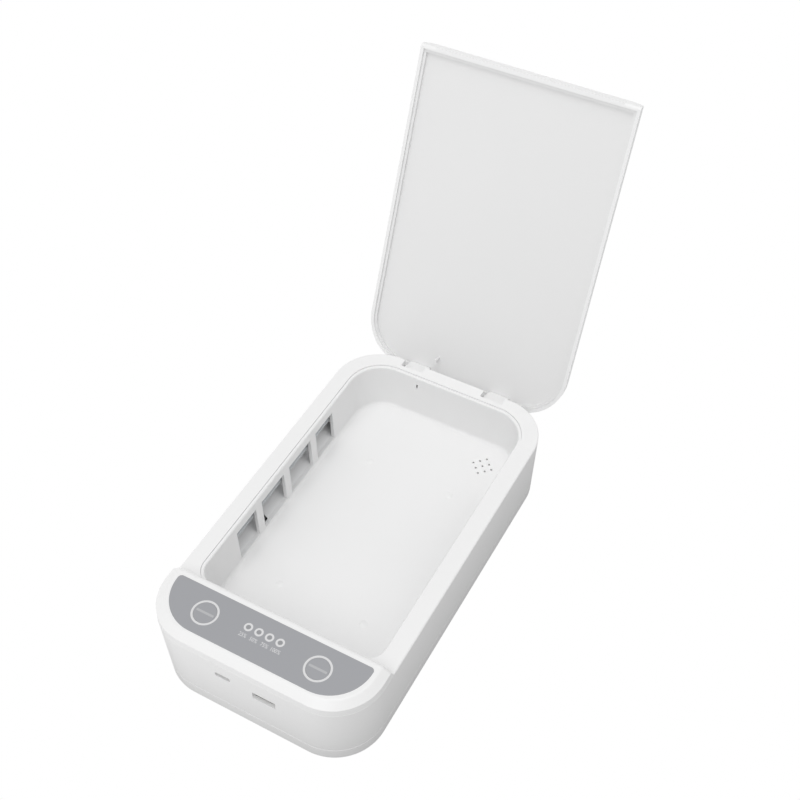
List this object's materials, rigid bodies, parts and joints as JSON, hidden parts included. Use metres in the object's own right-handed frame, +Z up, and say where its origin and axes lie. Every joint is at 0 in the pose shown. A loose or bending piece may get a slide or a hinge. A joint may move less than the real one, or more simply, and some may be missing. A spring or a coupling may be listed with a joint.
{
  "type": "uv sanitizer box for phones",
  "caption": "White case with a phone tray, side lamp windows, a grey control panel with push buttons, and a lid hinged at the back that swings open.",
  "frame": {"origin": "centre of the base, on the surface that the rubber feet stand on", "axes": "+X to the right seen from the control panel, +Y from the control panel to the hinge, +Z up; the lid is stored open"},
  "size_m": [0.12, 0.2884, 0.1961],
  "materials": {
    "white_case": "satin gloss ABS",
    "white_tray": "satin ABS",
    "foot_rubber": "matt",
    "grey_panel": "satin printed film",
    "grey_cap": "satin",
    "white_ring": "translucent white",
    "clear_light_pipe": "clear acrylic",
    "led_body": "moulded",
    "circuit_board": "solder mask",
    "switch_metal": "pressed steel",
    "black_plastic": "moulded",
    "socket_metal": "plated",
    "white_tongue": "moulded",
    "transformer_core": "wrapped core",
    "felt_pad": "felt",
    "screw_steel": "zinc plated",
    "pin_steel": "ground",
    "lamp_quartz": "clear quartz",
    "bright_aluminium": "rolled bright",
    "holder_silicone": "silicone"
  },
  "bodies": {
    "base": {"upper_housing": "white_case", "inner_tray": "white_tray", "bottom_cover": "white_case", "rubber_feet": "foot_rubber", "control_panel": "grey_panel", "left_button_ring": "white_ring", "right_button_ring": "white_ring", "indicator_rings": "white_ring", "indicator_light_pipe": "clear_light_pipe", "indicator_leds": "led_body", "control_board": "circuit_board", "left_button_switch": "switch_metal", "right_button_switch": "switch_metal", "main_board": "circuit_board", "usb_a_socket": "socket_metal", "usb_a_tongue": "white_tongue", "micro_usb_socket": "socket_metal", "micro_usb_tongue": "black_plastic", "lamp_transformer": "transformer_core", "controller_chip": "black_plastic", "lid_sensor_board": "circuit_board", "lid_sensor": "black_plastic", "scent_cup": "white_tray", "scent_pad": "felt_pad", "case_screws": "screw_steel", "tray_screws": "screw_steel", "control_board_screws": "screw_steel", "main_board_screws": "screw_steel", "hinge_pin_left": "pin_steel", "hinge_pin_right": "pin_steel", "uv_lamp_left": "lamp_quartz", "uv_lamp_right": "lamp_quartz", "lamp_reflector_left": "bright_aluminium", "lamp_reflector_right": "bright_aluminium", "lamp_holders_left": "holder_silicone", "lamp_holders_right": "holder_silicone"},
    "lid": {"lid_shell": "white_case", "lid_liner": "white_tray"},
    "left_push_button": {"left_button": "grey_cap", "left_switch_plunger": "black_plastic"},
    "right_push_button": {"right_button": "grey_cap", "right_switch_plunger": "black_plastic"}
  },
  "joints": [
    {"name": "lid_hinge", "type": "hinge", "parent": "base", "child": "lid", "pos_m": [0, 0.1033, 0.0372], "axis": [1, 0, 0], "range_deg": [0, 112.7]},
    {"name": "left_button_press", "type": "slide", "parent": "base", "child": "left_push_button", "axis": [0, 0, -1], "range_m": [0, 0.0005], "stiffness_N_per_m": 1500, "springref_m": -0.0004},
    {"name": "right_button_press", "type": "slide", "parent": "base", "child": "right_push_button", "axis": [0, 0, -1], "range_m": [0, 0.0005], "stiffness_N_per_m": 1500, "springref_m": -0.0004}
  ]
}
